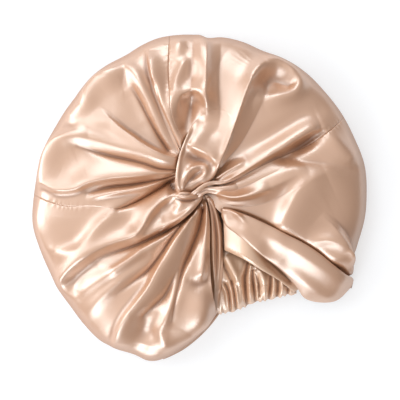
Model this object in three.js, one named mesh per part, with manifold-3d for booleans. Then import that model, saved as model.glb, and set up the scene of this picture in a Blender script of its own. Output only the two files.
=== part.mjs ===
// Sleep bonnet: a puffed satin bonnet with a twisted knot, lying flat with its mouth at the lower right.
// Millimetres, +Z up. Seen from above, +X is right and +Y is away from the mouth.
import * as THREE from 'three';
import { mergeVertices } from 'three/addons/utils/BufferGeometryUtils.js';
import Module from 'manifold-3d';

const wasm = await Module();
wasm.setup();

// Driving dimensions
const cloth = 2; // wall of the doubled satin
const gap = 0.5; // between two pieces that meet
const crownHeight = 44; // top of the puff above the surface
const rimHeight = 15; // where the crown is widest
const rollReach = 17; // how far the rim rolls under, inwards
const puffPower = 3.2; // how flat the top is across the crown
const panelTop = 3; // the back layer reaches up to here, under the mouth
const skyHeight = 200; // above every piece
const knot = { x: 5, y: 5 }; // every fold runs to this point

// Mesh steps of the crown, round the knot and out from it
const turnSteps = 59;
const outSteps = 15;
const rollSteps = 3;

// Outline of the crown round the knot: degrees from +X, and reach in millimetres
const outline = [
  { turn: 0, reach: 162 },
  { turn: 20, reach: 160 },
  { turn: 40, reach: 158 },
  { turn: 60, reach: 156 },
  { turn: 80, reach: 158 },
  { turn: 105, reach: 163 },
  { turn: 120, reach: 160 },
  { turn: 140, reach: 163 },
  { turn: 160, reach: 165 },
  { turn: 180, reach: 171 },
  { turn: 200, reach: 174 },
  { turn: 220, reach: 176 },
  { turn: 235, reach: 180 },
  { turn: 250, reach: 176 },
  { turn: 262, reach: 158 },
  { turn: 275, reach: 129 },
  { turn: 283, reach: 112 },
  { turn: 300, reach: 110 },
  { turn: 309, reach: 128 },
  { turn: 316, reach: 158 },
  { turn: 323, reach: 171 },
  { turn: 331, reach: 170 },
  { turn: 340, reach: 162 },
  { turn: 350, reach: 161 },
];

// Folds of the crown: rise above it (or depth, below 0), spread to each side, and three points on its line
const folds = [
  { name: 'top stripe', rise: 5, spread: 9, from: [3, 150], by: [3, 120], to: [4, 95] },
  { name: 'top valley', rise: -8, spread: 6, from: [13, 148], by: [12, 110], to: [14, 75] },
  { name: 'upper right ridge', rise: 6, spread: 8, from: [22, 42], by: [40, 85], to: [58, 130] },
  { name: 'upper right loop', rise: 4, spread: 7, from: [62, 133], by: [92, 128], to: [98, 108] },
  { name: 'upper right hollow', rise: -7, spread: 8, from: [64, 122], by: [78, 119], to: [88, 113] },
  { name: 'valley under the loop', rise: -6, spread: 7, from: [56, 102], by: [44, 68], to: [24, 38] },
  { name: 'right ridge', rise: 6, spread: 7, from: [24, 18], by: [70, 46], to: [118, 70] },
  { name: 'pocket under the ridge', rise: -6, spread: 7, from: [112, 60], by: [84, 46], to: [42, 27] },
  { name: 'broad right fold', rise: 5, spread: 14, from: [42, 22], by: [85, 26], to: [130, 30] },
  { name: 'right hollow', rise: -5, spread: 8, from: [30, -8], by: [65, -5], to: [100, 14] },
  { name: 'right streak', rise: 5, spread: 9, from: [110, 16], by: [92, -6], to: [80, -28] },
  { name: 'upper left crease', rise: -7, spread: 5, from: [-92, 87], by: [-65, 64], to: [-32, 45] },
  { name: 'upper left ridge', rise: 5, spread: 8, from: [-108, 68], by: [-70, 53], to: [-35, 37] },
  { name: 'middle left crease', rise: -7, spread: 5, from: [-122, 54], by: [-80, 42], to: [-40, 29] },
  { name: 'middle left ridge', rise: 6, spread: 9, from: [-145, 14], by: [-100, 20], to: [-32, 27] },
  { name: 'seam crease', rise: -5, spread: 5, from: [-145, -2], by: [-80, 12], to: [-30, 22] },
  { name: 'lower left crease', rise: -8, spread: 5, from: [-81, -10], by: [-55, 3], to: [-26, 20] },
  { name: 'top left crease', rise: -6, spread: 5, from: [-52, 142], by: [-46, 100], to: [-22, 53] },
  { name: 'top left ridge', rise: 5, spread: 9, from: [-36, 140], by: [-36, 95], to: [-20, 62] },
  { name: 'hollow beside the upper leaf', rise: -6, spread: 6, from: [-8, 98], by: [-15, 80], to: [-18, 62] },
  { name: 'lower crease', rise: -8, spread: 6, from: [-14, -18], by: [-34, -48], to: [-80, -92] },
  { name: 'lower long ridge', rise: 7, spread: 8, from: [-14, -22], by: [-42, -66], to: [-85, -138] },
  { name: 'lower broad fold', rise: 4, spread: 14, from: [-26, -62], by: [-45, -92], to: [-62, -118] },
  { name: 'crease beside the mouth', rise: -8, spread: 6, from: [2, -14], by: [-8, -50], to: [-28, -118] },
  { name: 'ridge beside the mouth', rise: 5, spread: 8, from: [6, -30], by: [3, -75], to: [-2, -128] },
  { name: 'left hollow', rise: -6, spread: 9, from: [-135, -76], by: [-126, -84], to: [-116, -92] },
];

// Seams between the crown's panels, from the knot outwards. The last one parts the panels beside the mouth
const seams = [
  { name: 'right seam', points: [[5, 5], [40, 22], [80, 41], [109, 53], [134, 72], [175, 108]] },
  { name: 'top seam', points: [[5, 5], [-8, 29], [-24, 72], [-31, 99], [-31, 144], [-30, 180]] },
  { name: 'left seam', points: [[5, 5], [-22, 21], [-56, 1], [-81, -9], [-128, -7], [-182, 4]] },
  { name: 'mouth parting', points: [[5, 5], [12, -3], [24, -16]] },
];

// Panels of the crown, and the way from the knot in which each lies, in degrees from +X
const panels = [
  { name: 'crown_right', turn: -2 },
  { name: 'crown_upper_right', turn: 62 },
  { name: 'crown_upper_left', turn: 142 },
  { name: 'crown_lower_left', turn: 228 },
];

// Folds that only the outer strip, the left edge or the twist's leaves have
const stripFolds = [{ name: 'strip bulge', rise: 6, spread: 11, from: [30, -24], by: [75, -48], to: [135, -88] }];
const edgeFolds = [
  { name: 'free edge', rise: -16, spread: 4, from: [23, -14], by: [24, -62], to: [24, -112] },
  { name: 'edge pleat', rise: 4, spread: 4, from: [14, -14], by: [15, -62], to: [14, -108] },
];
const upperLeafFolds = [{ name: 'upper leaf puff', rise: 9, spread: 14, from: [22, 92], by: [8, 60], to: [-8, 18] }];
const lowerLeafFolds = [{ name: 'lower leaf puff', rise: 7, spread: 9, from: [-20, -2], by: [-60, -34], to: [-126, -78] }];
const upperStrandFolds = [{ name: 'upper strand round', rise: 4, spread: 4, from: [-8, 4], by: [12, 15], to: [50, 32] }];
const lowerStrandFolds = [{ name: 'lower strand round', rise: 4, spread: 4, from: [-4, 2], by: [18, 8], to: [52, 5] }];

// Plan of each piece that lies on the crown or is cut from it: points on its middle line, and its half width
const upperLeafPlan = [
  { x: 28, y: 99, half: 8 },
  { x: 23, y: 88, half: 17 },
  { x: 11, y: 69, half: 21 },
  { x: 3, y: 49, half: 21 },
  { x: -5, y: 30, half: 17 },
  { x: -13, y: 14, half: 9 },
  { x: -18, y: 4, half: 5 },
];
const lowerLeafPlan = [
  { x: -15, y: 2, half: 5 },
  { x: -34, y: -14, half: 12 },
  { x: -52, y: -29, half: 12 },
  { x: -70, y: -42, half: 8 },
  { x: -98, y: -53, half: 7 },
  { x: -120, y: -66, half: 8 },
  { x: -131, y: -81, half: 6 },
];
const upperStrandPlan = [
  { x: -9, y: 5, half: 3 },
  { x: 0, y: 12, half: 3.5 },
  { x: 13, y: 16, half: 4 },
  { x: 28, y: 19, half: 5 },
  { x: 50, y: 32, half: 4 },
];
const lowerStrandPlan = [
  { x: -4, y: -1, half: 3 },
  { x: 5, y: 5, half: 3.5 },
  { x: 18, y: 6, half: 4.5 },
  { x: 34, y: 4, half: 5 },
  { x: 52, y: 3, half: 4 },
];
const leftBandPlan = [
  { x: 12, y: -8, half: 3 },
  { x: 16, y: -24, half: 5.5 },
  { x: 16.5, y: -60, half: 5.5 },
  { x: 16, y: -90, half: 5.5 },
  { x: 15, y: -111, half: 5.5 },
];

// The band on the right of the mouth: its upper edge, the split between its strips, and the hem's edge
const bandUpperEdge = [
  { x: 22, y: -10 },
  { x: 50, y: -18 },
  { x: 80, y: -32 },
  { x: 110, y: -48 },
  { x: 133, y: -64 },
  { x: 158, y: -80 },
];
const bandSplit = [
  { x: 22, y: -24 },
  { x: 48, y: -46 },
  { x: 74, y: -68 },
  { x: 96, y: -88 },
  { x: 112, y: -104 },
];
const hemEdge = [
  { x: 25, y: -50 },
  { x: 50, y: -63 },
  { x: 76, y: -80 },
  { x: 92, y: -94 },
  { x: 104, y: -106 },
];
const beyondTip = { x: 180, y: -130 }; // outside the outline, past the right tip

// Heights of the pieces over the crown's own surface
const lift = { upperLeaf: 4, lowerLeaf: 3.5, upperStrand: 8, lowerStrand: 5, hem: -6 };

// The ruched casing: its outer edge at the nape, its depth in plan and its puckers
const casingEdge = [
  { x: 24, y: -113 },
  { x: 40, y: -110 },
  { x: 56, y: -103.5 },
  { x: 74, y: -99.5 },
  { x: 91, y: -93.5 },
];
const casing = { depth: 25, wall: 2.4, base: 3.6, height: 11, puckers: 7, pucker: 1.8, steps: 33, acrossSteps: 4 };

// Colours of the satin
const satin = 0xdeba9e;
const shadedSatin = 0xcfa282;

// Blend through a closed table of outline rows with a smooth curve
function reachAt(turn) {
  const degrees = ((turn % 360) + 360) % 360;
  const count = outline.length;
  let row = count - 1;
  while (row > 0 && outline[row].turn > degrees) {
    row -= 1;
  }
  const pick = (offset) => outline[(row + offset + count) % count];
  const start = pick(0).turn;
  const end = row === count - 1 ? 360 : pick(1).turn;
  const t = (degrees - start) / (end - start);
  const [a, b, c, d] = [pick(-1).reach, pick(0).reach, pick(1).reach, pick(2).reach];
  const pull = 0.5 * (c - a + (2 * a - 5 * b + 4 * c - d + (3 * (b - c) + d - a) * t) * t);
  return b + t * pull;
}

// Height that a list of folds adds at a plan point
function foldHeight(list, x, y) {
  let height = 0;
  for (const fold of list) {
    const away = Math.min(lineDistance(fold.from, fold.by, x, y), lineDistance(fold.by, fold.to, x, y));
    height += fold.rise * Math.exp(-((away / fold.spread) ** 2));
  }
  return height;
}

// Distance in plan from a point to a straight stretch
function lineDistance(start, end, x, y) {
  const along = new THREE.Vector2(end[0] - start[0], end[1] - start[1]);
  const offset = new THREE.Vector2(x - start[0], y - start[1]);
  const t = THREE.MathUtils.clamp(offset.dot(along) / along.lengthSq(), 0, 1);
  return offset.sub(along.multiplyScalar(t)).length();
}

// Point on the puffed bag: out runs 0 to 1 from the knot to the rim, then to 2 under it
function bagPoint(turn, out, raise, list) {
  const reach = reachAt(THREE.MathUtils.radToDeg(turn));
  const underRim = out > 1;
  const roll = underRim ? ((out - 1) * Math.PI) / 2 : 0;
  const share = underRim ? 1 - (rollReach * (1 - Math.cos(roll))) / reach : Math.sin((out * Math.PI) / 2);
  const x = knot.x + reach * share * Math.cos(turn);
  const y = knot.y + reach * share * Math.sin(turn);
  if (underRim) {
    return new THREE.Vector3(x, y, rimHeight * (1 - Math.sin(roll)));
  }
  const puff = Math.sqrt(Math.max(0, 1 - share ** puffPower));
  const top = crownHeight - rimHeight + raise + foldHeight(list, x, y);
  return new THREE.Vector3(x, y, rimHeight + top * puff);
}

// Closed bag, with its surface moved inwards by an inset
function bag(inset, raise, list) {
  const rings = [];
  const nudge = 0.02;
  for (let i = 1; i <= outSteps + rollSteps; i += 1) {
    rings.push(i <= outSteps ? i / outSteps : 1 + (i - outSteps) / rollSteps);
  }
  const vertices = [];
  for (const out of rings) {
    for (let j = 0; j < turnSteps; j += 1) {
      const turn = (j / turnSteps) * 2 * Math.PI;
      const here = bagPoint(turn, out, raise, list);
      const before = bagPoint(turn, Math.max(out - nudge, 0.001), raise, list);
      const after = bagPoint(turn, Math.min(out + nudge, 2), raise, list);
      const side = bagPoint(turn + nudge, out, raise, list).sub(bagPoint(turn - nudge, out, raise, list));
      const normal = after.sub(before).cross(side).normalize();
      here.addScaledVector(normal, -inset);
      here.z = out === 2 ? inset : here.z;
      vertices.push(here.x, here.y, here.z);
    }
  }
  const summit = bagPoint(0, 0, raise, list);
  vertices.push(summit.x, summit.y, summit.z - inset, knot.x, knot.y, inset);
  const top = rings.length * turnSteps;
  const index = [];
  for (let j = 0; j < turnSteps; j += 1) {
    const next = (j + 1) % turnSteps;
    index.push(top, j, next);
    const last = (rings.length - 1) * turnSteps;
    index.push(top + 1, last + next, last + j);
    for (let i = 0; i < rings.length - 1; i += 1) {
      const a = i * turnSteps + j;
      const b = i * turnSteps + next;
      index.push(a, a + turnSteps, b + turnSteps, a, b + turnSteps, b);
    }
  }
  const geometry = new THREE.BufferGeometry();
  geometry.setAttribute('position', new THREE.Float32BufferAttribute(vertices, 3));
  geometry.setIndex(index);
  return solid(geometry);
}

// Wall of cloth that follows the bag, raised above it
function bagWall(raise, list) {
  return bag(0, raise, list).subtract(bag(cloth, raise, list));
}

// Geometry to boolean solid
function solid(geometry) {
  geometry.deleteAttribute('normal');
  geometry.deleteAttribute('uv');
  const merged = mergeVertices(geometry, 1e-4);
  const vertProperties = new Float32Array(merged.attributes.position.array);
  const triVerts = new Uint32Array(merged.index.array);
  return new wasm.Manifold(new wasm.Mesh({ numProp: 3, vertProperties, triVerts }));
}

// Boolean solid to a named mesh of one colour
function mesh(name, body, color) {
  const faces = body.simplify(0.02).getMesh();
  const geometry = new THREE.BufferGeometry();
  const positions = new Float32Array((faces.vertProperties.length / faces.numProp) * 3);
  for (let i = 0; i < positions.length / 3; i += 1) {
    positions.set(faces.vertProperties.subarray(i * faces.numProp, i * faces.numProp + 3), i * 3);
  }
  geometry.setAttribute('position', new THREE.BufferAttribute(positions, 3));
  geometry.setIndex(new THREE.BufferAttribute(faces.triVerts, 1));
  geometry.computeVertexNormals();
  const piece = new THREE.Mesh(geometry, new THREE.MeshStandardMaterial({ color, roughness: 0.35, metalness: 0 }));
  piece.name = name;
  return piece;
}

// Upright prism over a closed plan outline
function prism(points, bottom) {
  const shape = new THREE.Shape(points.map((point) => new THREE.Vector2(point.x, point.y)));
  const geometry = new THREE.ExtrudeGeometry(shape, { depth: skyHeight, bevelEnabled: false });
  geometry.translate(0, 0, bottom);
  return solid(geometry);
}

// Smooth open curve through plan points
function curve(points, steps) {
  const path = new THREE.CatmullRomCurve3(points.map((point) => new THREE.Vector3(point.x, point.y, 0)));
  return path.getPoints(steps).map((point) => ({ x: point.x, y: point.y }));
}

// Closed outline of a band of changing half width round its middle line, widened by a margin
function bandOutline(plan, margin) {
  const steps = 10;
  const middle = new THREE.CatmullRomCurve3(plan.map((row) => new THREE.Vector3(row.x, row.y, row.half)));
  const left = [];
  const right = [];
  for (let i = 0; i <= steps; i += 1) {
    const point = middle.getPoint(i / steps);
    const along = middle.getTangent(i / steps).setZ(0).normalize();
    const side = new THREE.Vector2(-along.y, along.x).multiplyScalar(point.z + margin);
    const reach = i === 0 ? -margin : i === steps ? margin : 0;
    const x = point.x + along.x * reach;
    const y = point.y + along.y * reach;
    left.push({ x: x + side.x, y: y + side.y });
    right.unshift({ x: x - side.x, y: y - side.y });
  }
  return left.concat(right);
}

// Move a row of plan points straight up or down the sheet
function shifted(points, dy) {
  return points.map((point) => ({ x: point.x, y: point.y + dy }));
}

// Open V of the mouth, with everything between its edges and past the outline
function mouthOutline() {
  const steps = 14;
  const nape = { x: 20, y: -150 };
  return [...curve(bandUpperEdge, steps), beyondTip, { x: 120, y: -150 }, nape, { x: 20, y: -12 }];
}

// Front layer and rim of the crown, with the mouth cut out, parted at the seams into its panels
function crownPanels(wall) {
  const mouth = prism(mouthOutline(), panelTop - gap);
  const edge = prism(bandOutline(leftBandPlan, gap), panelTop - gap);
  const above = [[-250, -250], [250, -250], [250, 250], [-250, 250]].map(([x, y]) => ({ x, y }));
  let front = wall.intersect(prism(above, panelTop)).subtract(mouth).subtract(edge);
  for (const seam of seams) {
    const plan = seam.points.map(([x, y]) => ({ x, y, half: gap / 2 }));
    front = front.subtract(prism(bandOutline(plan, 0), 0));
  }
  const bodies = front.decompose().sort((a, b) => b.volume() - a.volume()).slice(0, panels.length);
  return bodies.map((body) => {
    const { min, max } = body.boundingBox();
    const turn = THREE.MathUtils.radToDeg(Math.atan2((min[1] + max[1]) / 2 - knot.y, (min[0] + max[0]) / 2 - knot.x));
    const off = (panel) => Math.abs(((panel.turn - turn + 540) % 360) - 180);
    return { name: [...panels].sort((a, b) => off(a) - off(b))[0].name, body };
  });
}

// Back layer of the crown, flat on the surface
function crownBack(wall) {
  const above = [[-250, -250], [250, -250], [250, 250], [-250, 250]].map(([x, y]) => ({ x, y }));
  return mainPart(wall.subtract(prism(above, panelTop - gap)));
}

// Raised cloth over a band plan, kept clear of what lies under it
function leaf(row, under) {
  const wall = bagWall(row.raise, folds.concat(row.list)).intersect(prism(bandOutline(row.plan, 0), panelTop));
  return mainPart(under.reduce((body, other) => body.subtract(other), wall));
}

// Filled block over the same plan, a gap wider, that keeps the next piece clear of this one
function leafBlock(row) {
  const plan = prism(bandOutline(row.plan, gap), panelTop);
  return bag(-gap, row.raise, folds.concat(row.list)).intersect(plan);
}

// Rolled outer strip of the front band, with the part that wraps round the right tip
function outerStrip() {
  const steps = 12;
  const upper = shifted(curve(bandUpperEdge, steps), -gap);
  const lower = curve(bandSplit, steps).reverse();
  const tip = [beyondTip, { x: 150, y: -150 }, { x: 118, y: -118 }];
  const plan = prism([...upper, ...tip, ...lower], panelTop + gap);
  return bagWall(0, folds.concat(stripFolds)).intersect(plan);
}

// Inner strip of the front band, lower than the outer one, down to the hem
function hemStrip() {
  const steps = 12;
  const upper = shifted(curve(bandSplit, steps), -gap);
  const lower = shifted(curve(hemEdge, steps), gap).reverse();
  return bagWall(lift.hem, folds).intersect(prism([...upper, ...lower], panelTop + gap));
}

// Ruched casing: an arched strip along the nape, with puckers across it, resting on the back layer
function ruchedCasing(panel) {
  const path = new THREE.CatmullRomCurve3(casingEdge.map((row) => new THREE.Vector3(row.x, row.y, 0)));
  const vertices = [];
  const index = [];
  const around = casing.acrossSteps * 2 + 2;
  for (let i = 0; i <= casing.steps; i += 1) {
    const t = i / casing.steps;
    const edge = path.getPoint(t);
    const inwards = new THREE.Vector2(knot.x - edge.x, knot.y - edge.y).normalize();
    const ripple = casing.pucker * Math.sin(t * casing.puckers * 2 * Math.PI + 2.5 * Math.sin(5 * t));
    for (let j = 0; j < around; j += 1) {
      const below = j > casing.acrossSteps;
      const step = below ? around - 1 - j : j;
      const across = step / casing.acrossSteps;
      const arch = Math.sin(Math.PI * Math.min(1, 0.08 + across * 0.8)) ** 0.6;
      const wall = below ? casing.wall : 0;
      const height = casing.base + (casing.height + ripple) * arch - wall;
      const inset = below ? casing.wall * (1 - across) : 0;
      const reach = across * casing.depth + inset + ripple * 0.4 * (1 - across);
      vertices.push(edge.x + inwards.x * reach, edge.y + inwards.y * reach, Math.max(height, casing.base - 3));
    }
  }
  const last = casing.steps * around;
  for (let i = 0; i < casing.steps; i += 1) {
    for (let j = 0; j < around; j += 1) {
      const a = i * around + j;
      const b = i * around + ((j + 1) % around);
      index.push(a, a + around, b, b, a + around, b + around);
    }
  }
  for (let j = 0; j < casing.acrossSteps; j += 1) {
    const pair = around - 1 - j;
    index.push(j, j + 1, pair, j + 1, pair - 1, pair);
    index.push(last + j, last + pair, last + j + 1, last + j + 1, last + pair, last + pair - 1);
  }
  const geometry = new THREE.BufferGeometry();
  geometry.setAttribute('position', new THREE.Float32BufferAttribute(vertices, 3));
  geometry.setIndex(index);
  return solid(geometry).subtract(panel);
}

// Biggest connected part of a solid, so that no crumb of cloth is left over
function mainPart(body) {
  return body.decompose().sort((a, b) => b.volume() - a.volume())[0];
}

// Pleated left edge of the mouth, which turns down into the hollow
function leftBand() {
  const plan = prism(bandOutline(leftBandPlan, 0), panelTop + gap);
  return bagWall(0, folds.concat(edgeFolds)).intersect(plan);
}

// Pieces of the twist, from the lowest to the highest
const twist = [
  { name: 'twist_upper_leaf', plan: upperLeafPlan, raise: lift.upperLeaf, list: upperLeafFolds },
  { name: 'twist_lower_leaf', plan: lowerLeafPlan, raise: lift.lowerLeaf, list: lowerLeafFolds },
  { name: 'knot_strand_upper', plan: upperStrandPlan, raise: lift.upperStrand, list: upperStrandFolds },
  { name: 'knot_strand_lower', plan: lowerStrandPlan, raise: lift.lowerStrand, list: lowerStrandFolds },
];

// The whole bonnet, each piece a closed wall of cloth, centred on the middle of its plan
function bonnet() {
  const group = new THREE.Group();
  const wall = bagWall(0, folds);
  for (const panel of crownPanels(wall)) {
    group.add(mesh(panel.name, panel.body, satin));
  }
  group.add(mesh('crown_back', crownBack(wall), satin));
  const under = [bag(-gap, 0, folds)];
  for (const row of twist) {
    group.add(mesh(row.name, leaf(row, under), satin));
    under.push(leafBlock(row));
  }
  group.add(mesh('front_band_left', mainPart(leftBand()), satin));
  group.add(mesh('front_band_outer', mainPart(outerStrip()), satin));
  group.add(mesh('front_band_hem', mainPart(hemStrip()), shadedSatin));
  const panel = bag(-gap, 0, folds).subtract(prism(mouthOutline(), panelTop + gap));
  group.add(mesh('elastic_casing', mainPart(ruchedCasing(panel)), shadedSatin));
  const middle = new THREE.Box3().setFromObject(group).getCenter(new THREE.Vector3());
  group.position.set(-middle.x, -middle.y, 0);
  return group;
}

export default bonnet();
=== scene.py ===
import math

import bpy
import numpy as np
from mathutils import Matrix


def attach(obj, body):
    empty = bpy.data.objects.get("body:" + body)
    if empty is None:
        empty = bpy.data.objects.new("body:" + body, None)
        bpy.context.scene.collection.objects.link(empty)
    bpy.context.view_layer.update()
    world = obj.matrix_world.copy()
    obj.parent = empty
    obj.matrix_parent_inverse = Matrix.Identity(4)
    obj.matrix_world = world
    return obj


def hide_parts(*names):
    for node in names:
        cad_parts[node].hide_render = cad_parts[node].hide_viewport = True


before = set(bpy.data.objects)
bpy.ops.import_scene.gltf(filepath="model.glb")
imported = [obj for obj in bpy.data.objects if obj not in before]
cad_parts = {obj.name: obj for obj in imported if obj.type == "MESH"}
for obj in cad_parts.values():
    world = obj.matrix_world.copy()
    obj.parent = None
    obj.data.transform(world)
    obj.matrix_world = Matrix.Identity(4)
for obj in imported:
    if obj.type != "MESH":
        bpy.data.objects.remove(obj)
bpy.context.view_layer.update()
mm = 0.001

# Plan places are millimetres right and down in the photograph's frame, where a pixel is a millimetre
photo = {"middle": (200.0, 199.0), "knot": (205.0, 194.0)}


def place(u, v, z):  # plan place and height in millimetres to the frame's metres
    right, down = photo["middle"]
    return np.stack([(u - right) * mm, (down - v) * mm, z * mm], axis=-1)


def fromKnot(u, v):  # distance and turn round the knot
    du, dv = u - photo["knot"][0], photo["knot"][1] - v
    return np.hypot(du, dv), np.arctan2(dv, du)


def roundKnot(along, turn):  # plan place at a distance and turn
    return photo["knot"][0] + along * np.cos(turn), photo["knot"][1] - along * np.sin(turn)


def between(a, b, c, d, t):  # smooth curve from b to c, led by a and d
    return b + 0.5 * t * (c - a + t * (2 * a - 5 * b + 4 * c - d + t * (3 * (b - c) + d - a)))


def smoothLine(points, steps=5):  # smooth line through rows of any number of columns
    rows = np.array(points, float)
    padded = np.vstack([2 * rows[0] - rows[1], rows, 2 * rows[-1] - rows[-2]])
    line = [between(*padded[i:i + 4], t) for i in range(len(rows) - 1) for t in np.arange(steps) / steps]
    return np.array(line + [rows[-1]])


def lengthAlong(line):  # in plan, from the line's start to each of its rows
    return np.concatenate([[0], np.cumsum(np.hypot(*np.diff(line[:, :2], axis=0).T))])


def offStep(start, end, u, v):  # how far along one step of a line the places lie, and how far off it
    du, dv = end[:2] - start[:2]
    t = np.clip(((u - start[0]) * du + (v - start[1]) * dv) / (du * du + dv * dv + 1e-9), 0, 1)
    offU, offV = u - start[0] - t * du, v - start[1] - t * dv
    away = np.hypot(offU, offV)
    side = (offU * dv - offV * du) / (away * math.hypot(du, dv) + 1e-9)
    return t, away, side


def nearestOnLine(line, u, v):  # distance off a line, the side, and the line's other columns nearest there
    best = np.full(u.shape, 1e9)
    side = np.zeros(u.shape)
    values = np.zeros((line.shape[1] - 2,) + u.shape)
    for start, end in zip(line[:-1], line[1:]):
        t, away, turned = offStep(start, end, u, v)
        closer = away < best
        best = np.where(closer, away, best)
        side = np.where(closer, turned, side)
        for i, (first, last) in enumerate(zip(start[2:], end[2:])):
            values[i] = np.where(closer, first + t * (last - first), values[i])
    return best, side, values


# The puffed form: heights and reaches in millimetres
puff = {
    "top": 44.0,  # crown above the floor
    "rim": 14.0,  # where it is widest
    "rollIn": 15.0,  # how far the rim rolls under
    "flatness": 5.5,  # how flat the top is
    "dip": 7.0,  # the knot pulls the cloth down
    "dipReach": 26.0,
    "wall": 1.2,
    "rollEnd": 0.5,  # height of the rolled rim's end
    "rimShade": 0.4,  # painted shade where the cloth rolls under
    "rimShadeFrom": 0.955,  # share of the way out where the painted shade starts
    "foldGain": 1.5,
    "knotGain": 0.9,  # deeper folds round the knot
    "knotGainReach": 45.0,
}

# Silhouette round the knot: turn in degrees, reach in millimetres
outline = [
    (0, 162), (10, 162.5), (20, 160), (30, 159), (40, 158), (50, 158), (60, 156), (68, 154.5), (76, 157),
    (84, 158), (89, 155.5), (92, 159), (98, 161), (106, 163), (113, 162), (120, 160), (130, 162.5),
    (145, 162), (155, 164), (165, 167), (175, 169), (182, 172), (190, 175), (198, 174), (210, 174),
    (220, 175.5), (228, 178.5), (235, 180.5), (240, 178), (246, 176), (252, 177), (256, 172), (262, 158),
    (268, 143), (276, 124), (282, 114), (300, 110), (309, 126), (316, 158), (323, 171), (331, 170),
    (336, 163), (342, 161), (352, 162),
]


def outlineCurve():  # smooth closed curve through the outline's rows, one value a quarter degree
    turns, reaches = np.array(outline, float).T
    count = len(turns)
    dense = np.arange(0, 360, 0.25)
    first = np.searchsorted(turns, dense, side="right") - 1
    start = turns[first]
    end = np.where(first + 1 < count, turns[(first + 1) % count], 360.0)
    t = (dense - start) / (end - start)
    return dense, between(*(reaches[(first + step) % count] for step in (-1, 0, 1, 2)), t)


outlineTurns, outlineReaches = outlineCurve()


def reachAt(turn):
    return np.interp(np.degrees(turn) % 360, outlineTurns, outlineReaches, period=360)


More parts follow.
